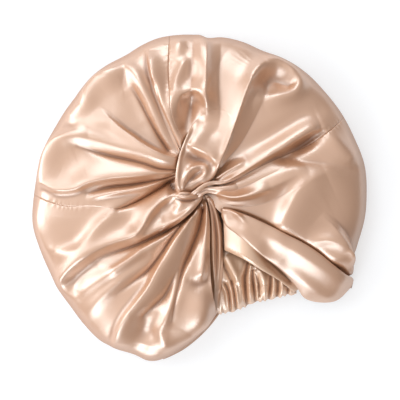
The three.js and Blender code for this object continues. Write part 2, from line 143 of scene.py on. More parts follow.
# Folds of the crown. Each row: name, widths to the left and right of its line in millimetres, then points on
# the line as right, down and height. The widths narrow near the knot, where the folds come together.
crownFolds = [
    # top
    ("topCrest", 9, 8, [(206, 116, 0), (205, 100, 2), (204, 75, 3), (203, 50, 3), (200, 37, 1)]),
    ("archCrest", 9, 3.0, [(176, 118, 0), (180, 99, 4), (186, 94, 5), (192, 92, 5), (198, 94, 4.8),
        (203, 99, 4), (205, 104, 2.4), (205, 109, 0.6)]),
    ("archHollow", 7, 7, [(186, 128, -3), (190, 110, -4.5), (194, 103, -3)]),
    ("innerArc", 5, 8, [(172, 118, 1), (173, 98, 3), (177, 80, 3.5), (183, 67, 3), (190, 60, 1)]),
    ("slotOverlap", 2.0, 11, [(180, 150, 3), (170, 127, 4), (162, 107, 5), (156, 88, 5.5), (151, 66, 4.5),
        (149, 52, 1)]),
    ("slotLine", 1.6, 1.6, [(180, 149, -2), (171, 130, -2.5), (161, 106, -2.5), (156, 88, -2),
        (151, 78, 0)]),
    ("seamSwell", 8, 8, [(178, 60, 1.5), (179, 46, 2.5), (184, 40, 1)]),
    # upper right
    ("leafRight", 9, 6, [(218, 168, 0), (227, 147, 0.5), (235, 125, 1), (243.7, 98, 2), (250, 83, 4),
        (257, 72.4, 5.5), (265, 67, 6), (275, 65.6, 6), (285, 69.6, 6), (292, 76, 5.6), (296.4, 84, 5),
        (293, 91, 4.5), (285, 95.4, 4), (273, 98.4, 3), (262, 101, 1)]),
    ("ridgeLine", 3.4, 1.6, [(230, 137, 0), (235.4, 122.6, 1), (239.4, 111.6, 1.2), (245, 95, 1.3),
        (250, 82, 1)]),
    ("loopHollow", 9, 9, [(266, 84, -3.5), (276, 79, -4.5), (288, 83, -3)]),
    ("softValley", 10, 9, [(244, 152, -1), (268, 139, -2.5), (296, 122, -2.5), (318, 112, -1)]),
    ("smallPuff", 5, 4, [(217, 177, 2), (227, 170.5, 3), (238, 165, 2.5), (246, 161, 0)]),
    ("rightCrest", 13, 2.6, [(214, 184, 2), (230, 179, 5), (241, 173, 5.5), (252, 166, 6), (265, 158, 6.5),
        (280, 150, 7), (295, 141, 7), (309, 133, 6), (320, 129, 2)]),
    ("rightPocket", 7, 7, [(284, 156, -3), (298, 148, -7), (310, 140, -6.4), (318, 134, -3)]),
    ("broadFold", 11, 12, [(226, 190, 2), (240, 184, 3), (262, 178, 3.5), (290, 170, 3.5), (320, 165, 2.5),
        (345, 164, 1)]),
    ("darkBand", 6, 6, [(276, 158, -1.5), (300, 161, -3), (325, 164, -2.5), (350, 169, -1)]),
    ("lowerLip", 8, 2.4, [(214, 193, 2), (223, 195.5, 4), (233, 198, 4.6), (246, 196.5, 4.2),
        (258, 193, 2.6), (270, 189, 0)]),
    ("streakBulge", 26, 9, [(324, 174, 2.5), (310, 181, 5), (298, 191, 6), (291, 203, 6), (286, 214, 6),
        (282, 226, 4.5), (280, 236, 2)]),
    ("cornerPatch", 9, 9, [(318, 130, 1), (334, 142, 3), (348, 156, 2)]),
    ("pocketArc", 7, 6, [(308, 244, 0), (318, 240, 2), (328, 239, 3), (337, 242, 2.4), (343, 248, 1)]),
    ("pocketHollow", 5, 4, [(330, 266, -1.4), (338, 268, -3.6), (346, 271, -3.6)]),
    ("pocketRidge", 2.2, 3, [(346, 251, 1.4), (348.6, 260, 2.8), (350.6, 268, 3), (352, 276, 2)]),
    ("bandCrease", 1.8, 3.4, [(224, 210, -2), (240, 213.4, -2.6), (260, 221.6, -2.6), (280, 231.2, -2.6),
        (300, 241.4, -2.8), (320, 254.6, -3.4), (340, 270.6, -3.4), (349, 276, -2.4)]),
    # upper left
    ("puffArch", 9, 9, [(170, 152, 0), (160, 127, 3), (154, 114, 4), (149, 103, 4.5), (142, 88, 5),
        (135, 75, 4), (127, 68.5, 3), (118, 70, 2.6), (108, 76.5, 2.4), (96, 81, 2.4), (89, 92, 3),
        (86, 104, 3.6), (74, 115, 3)]),
    ("puffHollow", 14, 6, [(149, 120, -1), (143, 108, -2), (136, 96, -2), (130, 88, -1)]),
    ("puffCrown", 13, 6, [(126, 72, 0), (118, 73, 2.4), (108, 77, 4.2), (98, 83, 4.4), (89, 95, 3),
        (84, 106, 1)]),
    ("puffLine", 2.2, 2.2, [(168, 151, -3), (158, 135, -3), (150, 120, -2.5), (140, 100, -2),
        (131, 84, 0)]),
    ("puffLight", 12, 12, [(112, 122, 0.6), (98, 122, 1.6), (84, 126, 1.6)]),
    ("upperLap", 13, 2.2, [(178, 158, 3), (167, 156, 4.5), (155, 151, 5.4), (144, 145, 5.4),
        (134, 138, 4.8), (124, 131, 3.6), (114, 122.6, 2), (106, 115, 0.8), (99, 108, 0)]),
    ("leftArch", 8, 8, [(176, 164, 1), (152, 158, 2), (126, 150, 2.6), (101, 141, 3), (82, 137, 3),
        (67, 137.5, 2.6), (57, 143, 2.4), (50, 155, 2.4), (45, 168, 2), (43, 182, 1.6)]),
    ("leftPuff", 15, 7, [(90, 135, 0), (77, 135, 2), (66, 138, 4), (56, 146, 5), (49, 158, 5.4),
        (46, 170, 4.6), (44, 182, 2)]),
    ("leftValley", 3.4, 3.4, [(176, 170, -3), (160, 169, -4), (145, 164, -4), (130, 160, -4),
        (113, 156.5, -3.5), (96, 152, -2.5), (80, 147, -1)]),
    ("leftCrest", 3.4, 13, [(177, 172, 2), (158, 173, 4), (135, 176, 5), (112, 178, 5), (92, 182, 5),
        (76, 189, 4), (60, 190, 4), (48, 184, 3)]),
    ("creaseC", 2.0, 2.0, [(176, 175, -3), (165, 179, -3.5), (150, 182, -4), (130, 185.5, -4),
        (110, 187.5, -3), (88, 193, -1)]),
    ("pleatC", 3.2, 5, [(177, 176, 2), (162, 181, 3.5), (146, 187, 4), (125, 191, 3.5), (104, 195, 2),
        (88, 199, 0)]),
    ("creaseD", 2.4, 2.4, [(178, 177.5, -3), (168, 183.5, -4.5), (156, 191, -5), (144, 198, -5),
        (132, 204, -4), (119, 209, -2)]),
    ("nookD", 4, 4, [(171, 184, -3), (174, 189, -4), (176, 192, -2)]),
    # left and lower left
    ("rimLeft", 24, 6, [(42, 203, 2), (40.4, 216, 3.4), (41.6, 230, 3.8), (45, 243, 3.2), (50, 254, 1.4)]),
    ("leftShelf", 11, 7, [(124, 208, 1), (112, 216, 2.6), (100, 226, 3.2), (90, 238, 3.6), (80, 249, 3.6),
        (68, 252, 3), (57, 250, 1.6)]),
    ("leafCrest", 5, 9, [(178, 195, 2), (170, 196.5, 3.5), (162, 201, 4.5), (155, 207, 5), (149, 215, 5),
        (144, 224, 5.2), (138, 232, 5.2), (130, 236.6, 5), (120, 239.6, 4.8), (109, 243.4, 4.6),
        (97, 249.6, 4.4), (84, 258.6, 4.4), (72, 268, 4.4), (64, 277, 4.2), (61.6, 285, 3.6),
        (66, 292, 2.4), (74, 297, 1)]),
    ("leafLower", 2.4, 9, [(190, 210, 2), (182, 216.5, 3), (173, 222, 4), (163, 227.4, 4),
        (152, 232.6, 3.4), (141, 238, 2)]),
    ("creaseA", 2.4, 2.4, [(200, 199, -2), (193, 210, -4), (182.5, 220, -5), (170, 229, -4.8),
        (159, 234.6, -4), (149, 239.4, -3.4), (136, 245, -2.6), (121, 250, -1.8), (106, 255.6, -1.1),
        (92, 263, -0.5), (82, 271, 0)]),
    ("leafHollow", 8, 7, [(96, 265, -1.4), (84, 272, -2.6), (76, 280, -2.8), (73, 288, -1.4)]),
    ("ridgeA", 9, 2.6, [(186, 217, 3), (170, 233, 3.8), (156, 241, 4), (142, 249, 3.4), (130, 258, 2.4),
        (116, 267, 1.4)]),
    ("creaseB", 2.4, 2.4, [(190, 214, -3), (179, 228, -4), (170, 241, -4.4), (161, 255, -3.8),
        (148, 270, -2.6), (134, 281, -1.4), (118, 293, -0.4)]),
    ("ridgeB", 15, 3.6, [(196, 212, 4), (185, 226, 5), (175, 240, 6), (166, 254, 6.4), (158, 269, 6),
        (149, 286, 5.6), (138, 301, 5.2), (127, 315, 4.8), (119, 330, 4.4), (115, 343, 3)]),
    ("streakOne", 7, 8, [(150, 247, 1), (134, 257, 2.2), (117, 268, 2.6), (100, 279, 2.2), (86, 289, 1.2),
        (78, 296, 0.2)]),
    ("streakTwo", 7, 9, [(152, 262, 1), (138, 268, 2), (124, 276, 2.8), (110, 288, 2.6), (98, 301, 1.8),
        (90, 312, 0.8), (88, 322, 0)]),
    ("streakDips", 5, 5, [(146, 255, -0.5), (128, 268, -1), (112, 280, -0.8), (100, 290, 0)]),
    ("creaseM", 4, 4, [(178, 268, -1), (172, 282, -3), (165, 295, -3.5), (155, 305, -3), (144, 315, -2)]),
    ("creaseE", 2.6, 2.6, [(203, 208, -4), (200, 224, -5), (195, 239, -5.5), (189, 254, -5.5),
        (183, 268, -4), (179, 285, -3), (175, 303, -2.5), (172, 320, -1)]),
    ("wedge", 7, 6, [(180, 276, 1), (174, 300, 3.4), (166, 318, 3), (160, 330, 2.4), (165, 344, 1.4)]),
    ("pleatOne", 5, 5.5, [(206.5, 204, 2.4), (207, 220, 3.4), (206, 238, 4), (204.6, 256, 4),
        (203, 270, 3.6), (203, 278, 1.6)]),
    ("mouthDip", 16, 12, [(208, 214, -1), (209, 232, -3.6), (210, 255, -4.6), (211, 280, -4),
        (213, 306, -2)]),
    ("tubeHollow", 6, 6, [(190, 281, -1.6), (198, 284, -3), (207, 281, -2.4)]),
    ("lowerLobe", 20, 12, [(205, 290, 2), (203, 306, 4.6), (200, 320, 4.6), (193, 334, 2)]),
    ("lobeHollow", 16, 13, [(152, 308, -1), (148, 321, -3.4), (144, 333, -4.4), (142, 345, -2)]),
]


# Folds with straight sides that meet at a sharp line. A point's fourth value is the width to the right there
straightFolds = [
    ("topSlope", 15, 13, [(206, 124, 3), (207, 112, 6.5), (206, 95, 8), (206, 75, 8), (207, 58, 6),
        (208, 40, 3)]),
    ("ridgeRightSlope", 36, 18, [(217, 170, 1, 5), (222, 158, 3.6, 7), (227, 147, 5.6, 10),
        (232.6, 131, 7.4, 14), (239, 112.5, 8.4, 17), (245, 95, 8.4, 19), (250, 83, 7, 18),
        (256, 73, 4, 16), (264, 67, 1, 12)]),
    ("pocketSlope", 6, 26, [(320, 214, 0), (331, 224, 2.4), (339.6, 235, 6.4), (345, 246, 9.6),
        (348.2, 256, 9.6), (349.4, 266, 5)]),
    ("underLip", 12, 12, [(222, 195.5, 3), (234, 198, 6), (247, 196, 7.6), (262, 191, 7.6), (280, 183, 6),
        (296, 175, 2.4)]),
]


# How folds fall off beside their lines
foldLook = {
    "narrowest": 0.35,  # share of its width that a fold keeps at the knot
    "narrowReach": 90.0,
    "reach": {"round": 3.2, "straight": 1.1},  # in widths
    "creaseWidth": 5.0,  # a hollow narrower than this is a sharp crease
    "creaseGain": 1.15,
    "creaseSoft": 0.25,
    "crestSoft": 0.03,
    "crestPower": 0.9,
    "lineSoft": 3.0,
}


def foldHeights(folds, u, v, kind="round", narrowing=True):  # sum of the folds' heights at plan places
    look = foldLook
    total = np.zeros(u.shape)
    least = look["narrowest"] if narrowing else 1.0
    narrow = np.clip(least + fromKnot(u, v)[0] / look["narrowReach"], least, 1)
    for name, widthLeft, widthRight, points in folds:
        line = smoothLine([row if len(row) == 4 else row + (widthRight,) for row in points])
        reach = look["reach"][kind] * max(widthLeft, line[:, 3].max())
        low, high = line[:, :2].min(0) - reach, line[:, :2].max(0) + reach
        near = (u > low[0]) & (u < high[0]) & (v > low[1]) & (v < high[1])
        if not near.any():
            continue
        away, side, (height, wide) = nearestOnLine(line, u[near], v[near])
        width = (wide + (widthLeft - wide) * (0.5 + 0.5 * side)) * narrow[near]
        hollow = max(row[2] for row in points) <= 0
        if kind == "straight":  # sides that meet at the line
            share = np.clip(1 - np.sqrt(away**2 + look["lineSoft"]) / width, 0, 1)
        elif hollow and max(widthLeft, widthRight) < look["creaseWidth"]:
            soft = look["creaseSoft"]
            share = look["creaseGain"] * np.exp(soft - np.sqrt((away / width) ** 2 + soft**2))
        else:
            soft, power = look["crestSoft"], look["crestPower"]
            share = np.exp(soft**power - ((away / width) ** 2 + soft) ** power)
        total[near] += height * share
    return total


# Seams that pucker where they show: right, down and the share of the pucker, from the knot outwards
seams = {
    "groove": 0.35,
    "grooveWidth": 0.7,
    "pucker": 0.26,
    "puckerLength": 4.6,
    "puckerWidth": 3.4,
    "puckerDrift": (2.6, 6.1, 9.0),  # how the small waves slide, along the seam and across
    "flatBeside": 1.2,
    "lines": [
        [(171, 118, 0), (170.4, 100, 0.7), (169, 80, 1), (169, 55, 1), (169.6, 34, 0.6)],
        [(106, 207.6, 0), (88, 207, 0.5), (72, 206.5, 1), (54, 203, 1), (38, 196, 0.8)],
        [(304, 148.6, 0), (312, 143, 1), (322, 136, 1), (334, 127, 1), (344, 118, 0.5)],
    ],
}


def seamHeights(u, v):  # a fine groove with small waves along it
    total = np.zeros(u.shape)
    amount, slow, across = seams["puckerDrift"]
    for points in seams["lines"]:
        line = smoothLine(points)
        best, _, (share, along) = nearestOnLine(np.column_stack([line, lengthAlong(line)]), u, v)
        drift = amount * np.sin(along / slow) + u / across
        wave = np.sin(along * 2 * math.pi / seams["puckerLength"] + drift)
        wave *= np.exp(-((best / seams["puckerWidth"]) ** 2)) * np.clip(best / seams["flatBeside"], 0, 1)
        groove = np.exp(-((best / seams["grooveWidth"]) ** 2))
        total += share * (seams["pucker"] * wave - seams["groove"] * groove)
    return total


def puffHeight(share, away):  # the crown's top without its folds
    rise = np.sqrt(np.clip(1 - np.clip(share, 0, 1) ** puff["flatness"], 0, 1))
    dip = puff["dip"] * np.exp(-((away / puff["dipReach"]) ** 2))
    return puff["rim"] + (puff["top"] - puff["rim"]) * rise - dip


# Where leaves of the twist lie on the crown and press it flat: right, down, half width
pressed = {
    "fade": 5.0,
    "depth": 2.0,
    "lines": [
        [(217, 125, 12), (212, 133, 17), (206, 142, 18), (201, 152, 19), (197, 161, 18), (193, 170, 16),
         (189, 179, 12), (186, 187, 8), (186, 194, 4)],
        [(198, 199, 3), (190, 203, 7), (182, 206, 10), (175, 208, 9)],
    ],
}


def pressShare(u, v):  # 1 under a leaf, fading to 0 at its edge
    share = np.zeros(u.shape)
    for points in pressed["lines"]:
        line = smoothLine(points)
        for start, end in zip(line[:-1], line[1:]):
            t, away, _ = offStep(start, end, u, v)
            inside = (start[2] + t * (end[2] - start[2]) - away) / pressed["fade"]
            share = np.maximum(share, np.clip(inside + 0.5, 0, 1))
    return share * share * (3 - 2 * share)


def freeFoldHeight(u, v):  # all the crown's folds and seams
    near = np.exp(-((fromKnot(u, v)[0] / puff["knotGainReach"]) ** 2))
    soft, sharp = foldHeights(crownFolds, u, v), foldHeights(straightFolds, u, v, "straight")
    return (puff["foldGain"] + puff["knotGain"] * near) * soft + sharp + seamHeights(u, v)


def crownFoldHeight(u, v):  # the same, pressed flat under the leaves
    share = pressShare(u, v)
    return freeFoldHeight(u, v) * (1 - share) - pressed["depth"] * share


def smoothTop(u, v):  # puffHeight at plan places, which carries the leaves and strands
    away, turn = fromKnot(u, v)
    return puffHeight(away / reachAt(turn), away)


# Painted shade in creases, from how concave the cloth is
creaseLook = {"reaches": (2, 5), "gain": 1.7, "least": 0.2}  # reaches are in grid steps


def gridNormals(places):
    normal = np.cross(np.gradient(places, axis=0), np.gradient(places, axis=1))
    return normal / (np.linalg.norm(normal, axis=-1, keepdims=True) + 1e-12)


def creaseShade(places):  # painted shade, 0 on ridges to 1 deep in a crease
    normal = gridNormals(places)
    normal *= np.where(normal[..., 2:] < 0, -1, 1)
    shade = np.zeros(places.shape[:2])
    for axis in (0, 1):
        for step in creaseLook["reaches"]:
            wide = [(step, step) if k == axis else (0, 0) for k in range(3)]
            padded = np.pad(places, wide, mode="edge")
            count = places.shape[axis]
            before = np.take(padded, range(count), axis=axis)
            after = np.take(padded, range(2 * step, 2 * step + count), axis=axis)
            lift = ((before + after - 2 * places) * normal).sum(-1)
            shade = np.maximum(shade, lift / (np.linalg.norm(before - after, axis=-1) + 2e-4))
    return np.clip(shade * creaseLook["gain"] - creaseLook["least"], 0, 1)


def gridPiece(name, places, paintedRollShade=0.0):  # a grid whose vertices are moved to the given rows and columns
    rows, columns = places.shape[:2]
    bpy.ops.object.select_all(action="DESELECT")
    bpy.ops.mesh.primitive_grid_add(x_subdivisions=columns - 1, y_subdivisions=rows - 1, size=1)
    piece = bpy.context.object
    piece.name = name
    piece.data.name = name
    piece.data.vertices.foreach_set("co", np.ascontiguousarray(places, dtype=np.float32).ravel())
    # Painted shade: creases and rolled edges darken the colour through this attribute
    shade = piece.data.attributes.new("crease", "FLOAT", "POINT")
    shade.data.foreach_set("value", np.clip(creaseShade(places) + paintedRollShade, 0, 1).astype(np.float32).ravel())
    piece.data.update()
    bpy.ops.object.shade_smooth()
    normals = np.zeros(len(piece.data.polygons) * 3)
    piece.data.polygons.foreach_get("normal", normals)
    if normals.reshape(-1, 3)[:, 2].sum() < 0:  # outward means up on the top of the cloth
        piece.data.flip_normals()
    return piece


# Seams and free edges that bound the crown's panels, from the knot outwards, with the turn they end near
panelEdges = {
    "underBand": (-31, [(207, 197), (215, 207), (224, 215), (240, 221), (260, 230), (280, 239), (300, 248),
        (320, 261), (338, 276), (352, 289)]),
    "seamRight": (27, [(206, 193), (218, 186), (240, 177), (262, 166), (284, 156), (300, 149), (310, 144),
        (322, 136), (334, 127), (350, 112)]),
    "seamTop": (103, [(204.8, 192), (197, 170), (186, 146), (176, 127), (171, 110), (169, 80), (169, 55),
        (170, 30)]),
    "seamLeft": (180, [(203, 193), (190, 182), (178, 177.5), (168, 184), (156, 191), (144, 198), (132, 204),
        (119, 208.5), (95, 206), (72, 206.5), (54, 203), (36, 195.5), (28, 194)]),
    "mouthLeft": (277, [(205, 196), (207, 205), (209, 215), (210, 230), (210, 250), (211, 270), (213, 290),
        (215, 310), (216, 322)]),
}
crownPanels = {
    "outSteps": 150,
    "rollSteps": 16,
    "degreesPerStep": 0.42,
    "rollTurn": 115,
    "eye": 0.004,  # the open point at the knot
    "rimFold": 0.3,  # share of the folds' height at the rim
    "rimFoldGain": 14.0,
    "rollFold": 0.5,  # share at the start of the roll, none at its end
    "rollFoldEnd": 1.6,
    "inset": [(0, 0), (250, 0), (256, 2.5), (276, 5.5), (300, 10), (320, 12), (327, 8), (332, 2), (340, 0)],
    "panels": [
        ("crownRight", "crown_right", "underBand", "seamRight"),
        ("crownUpperRight", "crown_upper_right", "seamRight", "seamTop"),
        ("crownUpperLeft", "crown_upper_left", "seamTop", "seamLeft"),
        ("crownLowerLeft", "crown_lower_left", "seamLeft", "mouthLeft"),
    ],
}


def edgeTurn(edge, share):  # turn of a panel's edge at a share of the way out
    near, line = panelEdges[edge]
    rows = smoothLine(line)
    away, turns = fromKnot(*rows.T)
    turns = np.unwrap(turns)
    turns += 2 * math.pi * round((math.radians(near) - turns[-1]) / (2 * math.pi))
    turn = np.full(share.shape, math.radians(near))
    for _ in range(3):
        turn = np.interp(share * crownReach(turn), away, turns)
    return turn


def crownReach(turn):  # the crown's own outline, inside the band's tip and the back layer's edge
    return reachAt(turn) - np.interp(np.degrees(turn) % 360, *zip(*crownPanels["inset"]), period=360)


def crownPanel(name, fromEdge, toEdge):
    look = crownPanels
    spread = panelEdges[toEdge][0] - panelEdges[fromEdge][0]
    outs = np.concatenate([
        np.sin(np.linspace(look["eye"], 1, look["outSteps"] + 1) * math.pi / 2),
        1 + np.linspace(0, 1, look["rollSteps"] + 1)[1:],
    ])
    part = np.linspace(0, 1, int(spread / look["degreesPerStep"]) + 1)
    out, part = np.meshgrid(outs, part, indexing="ij")
    share = np.minimum(out, 1)
    start, end = edgeTurn(fromEdge, share), edgeTurn(toEdge, share)
    turn = start + (end - start) * part
    roll = np.clip(out - 1, 0, 1) * math.radians(look["rollTurn"])
    along = share * crownReach(turn) - puff["rollIn"] * (1 - np.cos(roll))
    u, v = roundKnot(along, turn)
    rolled = puff["rim"] - (puff["rim"] - puff["rollEnd"]) * np.sin(np.minimum(roll, math.pi / 2))
    base = np.stack([u, -v, np.where(out > 1, rolled, puffHeight(share, along))], axis=-1)
    outwards = np.stack([np.cos(turn), np.sin(turn), 0 * turn], -1)
    normal = np.where((out > 1)[..., None], outwards, gridNormals(base))
    onRoll = look["rollFold"] * np.clip(look["rollFoldEnd"] - out, 0, 1)
    onTop = np.clip(look["rimFold"] + (1 - out) * look["rimFoldGain"], look["rimFold"], 1)
    moved = base + normal * (crownFoldHeight(u, v) * np.where(out > 1, onRoll, onTop))[..., None]
    # Painted shade, rising over the rim's last stretch and full on the roll
    paintedRollShade = np.clip((out - puff["rimShadeFrom"]) / (1 - puff["rimShadeFrom"]), 0, 1)
    return gridPiece(name, place(moved[..., 0], -moved[..., 1], moved[..., 2]), puff["rimShade"] * paintedRollShade)


# Strips of folded cloth. A station: right and down of both edges, height of both and the bulge between them.
# The leaves have one more value: 0 lies on the crown, 1 is one with its folds and 2 is buried in them.
stripLook = {
    "between": 8,  # steps between stations
    "across": 40,
    "rollSteps": 6,
    "rollTurn": 150,
    "rollA": 2.5,  # radius of the roll at the first edge
    "rollB": 2.5,
    "rollFull": 12.0,  # a narrower strip has smaller rolls
    "deep": 1.3,
    "flatness": 2.4,
    "foldGain": 1.0,
    "foldFade": 2.0,  # how fast the folds, tuck and painted shade change round the roll
    "tuckFade": 3.0,
    "shadeFade": 2.5,
    # Painted shade on the rolled edges
    "edgeShade": 0.35,
    "onCrown": False,
    "above": 0.15,  # above the crown's folds
    "cover": 2.5,  # depth under the crown at the buried end
    "tuck": 2.4,
    "scallop": 0.0,
    "scallopWaves": (0.95, 1.4, 0.31),
}


def strip(name, part):
    look = {**stripLook, **part["look"]}
    rows = smoothLine(part["stations"], look["between"])
    sideSteps, rollSteps = look["across"] // 2, look["rollSteps"]
    inner = np.linspace(-1, 1, 2 * sideSteps + 1)
    rolled = 1 + np.linspace(0, 1, rollSteps + 1)[1:]
    across = np.concatenate([-rolled[::-1], inner, rolled])[None, :]
    au, av, bu, bv, heightA, heightB, bulge = (rows[:, i][:, None] for i in range(7))
    follow = rows[:, 7][:, None] if rows.shape[1] > 7 else 0.0
    sine = np.sin(np.clip(across, -1, 1) * math.pi / 2)
    edge = np.clip(np.abs(across) - 1, 0, 1)  # 0 on the strip to 1 at the ends of its rolls
    length = np.hypot(bu - au, bv - av) + 1e-6
    roll = edge * math.radians(look["rollTurn"])
    radius = np.where(across < 0, look["rollA"], look["rollB"]) * np.minimum(1, length / look["rollFull"])
    mix = (sine + 1) / 2 - radius * (1 - np.cos(roll)) * np.sign(across) / length
    inside = np.clip(mix, 0, 1)
    fine, amount, slow = look["scallopWaves"]
    scallop = look["scallop"] * inside**3 * np.sin(fine * bu + amount * np.sin(slow * bu))
    u = au + (bu - au) * mix
    v = av + (bv - av) * mix + scallop
    arch = np.sqrt(np.clip(1 - np.abs(sine) ** look["flatness"], 0, 1))
    z = heightA + (heightB - heightA) * inside + bulge * arch - radius * look["deep"] * np.sin(roll)
    own = 1 - np.minimum(edge * look["foldFade"], 1)
    z = z + own * look["foldGain"] * foldHeights(part["folds"], u, v, narrowing=False)
    if look["onCrown"]:
        one = np.minimum(follow, 1)
        sunk = look["cover"] * (follow - one) + look["tuck"] * np.minimum(edge * look["tuckFade"], 1)
        z = smoothTop(u, v) + (1 - one) * z + one * (freeFoldHeight(u, v) + look["above"] - sunk)
    # The rolled edges get painted shade
    return gridPiece(name, place(u, v, z), look["edgeShade"] * np.minimum(edge * look["shadeFade"], 1))


# Upper leaf of the twist: it comes down from the top and goes under the lower leaf
upperLeaf = {
    "wall": 1.0,
    "look": {"onCrown": True, "rollA": 2.4, "rollB": 2.2, "across": 64, "between": 9, "deep": 2.4},
    "stations": [
        (214, 97, 244, 96, 3, 8, 0, 1.6), (210.6, 104, 241.4, 104, 3, 8.4, 0, 1.3),
        (204.6, 111.5, 239, 112, 3.5, 8.8, 0, 1.12), (197.6, 119, 236.2, 121, 5, 9.4, 0, 1.03),
        (191.8, 126.4, 233, 131, 6.6, 10, 0, 0.6), (187.4, 135, 229.4, 142.4, 8, 11, 0.6, 0.15),
        (183.4, 144.5, 225.2, 153, 9, 11.6, 1.8, 0), (179.9, 154, 221.4, 161, 9.8, 11.6, 2.4, 0),
        (177.6, 163.5, 218, 169, 10, 11.2, 2.5, 0), (176, 173, 213.5, 177.4, 9.5, 10, 2.5, 0),
        (175.4, 181, 206, 183.4, 8.5, 9, 2.5, 0), (176, 188, 198, 189, 7, 7, 2, 0),
        (177.2, 193, 191, 194.6, 3, 3, 1, 0), (179, 197.5, 187, 198.5, -2, -2, 0, 0),
    ],
    "folds": [
        ("leafCrest", 10, 8, [(206, 118, 1), (204.5, 124, 2.6), (201.5, 131, 3), (197, 139, 2.8),
            (192, 146, 1)]),
        ("leafValley", 6, 8, [(219, 118, -1), (216.5, 127, -2), (211, 134, -1.4), (206, 140, -0.4)]),
        ("leftRim", 2.2, 6, [(199.5, 115, 0.4), (195.5, 120, 1.8), (190.5, 130, 3), (185.6, 141, 3),
            (182, 152, 2.6), (179.4, 163, 2.4), (178, 174, 2.4), (178, 184, 2.4), (179.4, 191, 2)]),
        ("vRidge", 7, 3.6, [(186.6, 142.6, 1), (191, 146, 3.6), (198, 150.5, 4.6), (206.5, 154.5, 4.8),
            (212, 158.4, 4.4), (217, 163, 2)]),
        ("hollowUnderV", 9, 8, [(186, 155, -4), (193, 158, -7.6), (201, 161, -7), (208, 166, -3)]),
        ("loopRidge", 3.6, 4.4, [(183, 192, 2), (184, 183, 3.4), (187, 176, 4.4), (191.5, 170, 5),
            (198, 167, 5.2), (203.5, 167.5, 5), (205.6, 171.5, 4.4), (203.6, 176, 3.6), (198, 180, 2.8),
            (191, 184, 2), (185, 188, 1)]),
        ("loopHollow", 5, 5, [(188, 182, -2.5), (194, 176.5, -4), (200, 172, -2.5)]),
        ("rightRim", 1.8, 3.8, [(236, 121, 0.4), (232.2, 131, 1.8), (225, 150.6, 2.4), (218.4, 165.6, 2.6),
            (212.6, 176, 2.4), (205, 182, 1.6)]),
    ],
}

# Lower leaf of the twist: from the knot's eye to the lower left, into the crown
lowerLeaf = {
    "wall": 1.0,
    "look": {"onCrown": True, "rollA": 1.8, "rollB": 2.4, "across": 52, "between": 9, "deep": 2.4},
    "stations": [
        (202, 194, 203, 197.4, 5, 5, 0.6, 0), (196, 193.4, 199.4, 203, 7, 6, 1.6, 0),
        (189, 192, 194, 209.6, 8.4, 7.4, 2.4, 0), (182, 191.6, 187.4, 216, 8.6, 8.4, 3, 0.1),
        (175.4, 192.4, 180.4, 221.6, 8, 9, 3.2, 0.4), (168, 196.4, 172.6, 227, 7.4, 9, 3.4, 0.8),
        (160.5, 202.6, 164.6, 231.6, 6.6, 8.8, 3.4, 1), (153.6, 210, 156.6, 236, 6, 8.4, 3, 1.5),
        (147.4, 218.6, 149, 241, 5, 7.6, 2.4, 2),
    ],
    "folds": [
        ("ring", 2.4, 2.4, [(199, 196, 1), (193, 196.6, 2.4), (187, 197.4, 3), (181.5, 196.8, 3),
            (178.6, 195, 2.6), (181.4, 193.2, 2.2), (188, 193.2, 2)]),
        ("creaseUnderRing", 1.8, 1.8, [(177, 198.6, -2), (183, 200.6, -3), (191, 200.4, -2.6),
            (198, 198.5, -1)]),
        ("vBright", 3.6, 3.6, [(176, 199.5, 2.5), (180, 205, 3.2), (176, 210, 2.4)]),
        ("dent", 5, 5, [(166, 203, -2), (170, 207, -2.8)]),
        ("upperRim", 3, 5, [(172, 196, 1.5), (164, 201, 3), (156, 209, 3.4), (149.6, 218, 3.4),
            (144, 228, 3), (136, 236.4, 2)]),
        ("lowerRim", 11, 2.6, [(197, 204, 1), (190, 210, 3), (182, 216, 4), (174, 221, 4.5),
            (164, 227, 4.5), (153, 234, 4.5), (142, 241, 4), (130, 247, 2)]),
    ],
}

# Strands that cross in the knot
upperStrand = {
    "wall": 0.9,
    "look": {"onCrown": True, "rollA": 1.2, "rollB": 1.6, "across": 14, "deep": 2.6},
    "stations": [
        (190, 193.6, 192, 197, 8, 8, 1), (195, 189.8, 198.6, 193, 10.6, 10.4, 1.6),
        (200, 185.8, 203, 189.4, 11.6, 11.2, 1.8), (206, 182.4, 207.6, 186.4, 11.4, 11, 1.8),
        (213, 181, 213.6, 185, 10.6, 10, 1.6), (220, 180.6, 221, 184.6, 9.6, 9, 1.4),
        (227, 178, 229, 182.4, 8.8, 8, 1.2), (235, 173.6, 238, 178.4, 8, 7, 1),
        (245, 168, 248, 172.6, 6.4, 5.4, 0.4), (256, 161.5, 259, 166.5, 4, 3, 0),
    ],
    "folds": [],
}
lowerStrand = {
    "wall": 0.9,
    "look": {"onCrown": True, "rollA": 1.2, "rollB": 1.8, "across": 22, "deep": 2.6},
    "stations": [
        (194, 195.4, 197, 199, 6.4, 6, 1), (198, 191.6, 201.4, 196.4, 9, 8.4, 1.8),
        (202.4, 188.6, 205.6, 193.8, 9.6, 9, 2), (208, 187, 210, 193.4, 9.2, 8.4, 2),
        (215, 186.6, 216.6, 194.8, 8, 7, 2), (223, 186, 225, 196, 7, 6, 1.8),
        (232, 184, 234, 196.6, 5.6, 4.6, 1.4), (242, 181, 244, 195.6, 3.6, 3, 1),
        (252, 178, 254, 193, 1, 0.6, 0.4),
    ],
    "folds": [
        ("strandLine", 1.4, 1.4, [(197, 196, -0.6), (201.4, 192.2, -1.4), (207, 190.2, -1.4),
            (214, 190.6, -1)]),
        ("strandLight", 3, 3, [(212, 189.6, 0.5), (222, 188, 1.4), (234, 188, 1.2)]),
    ],
}

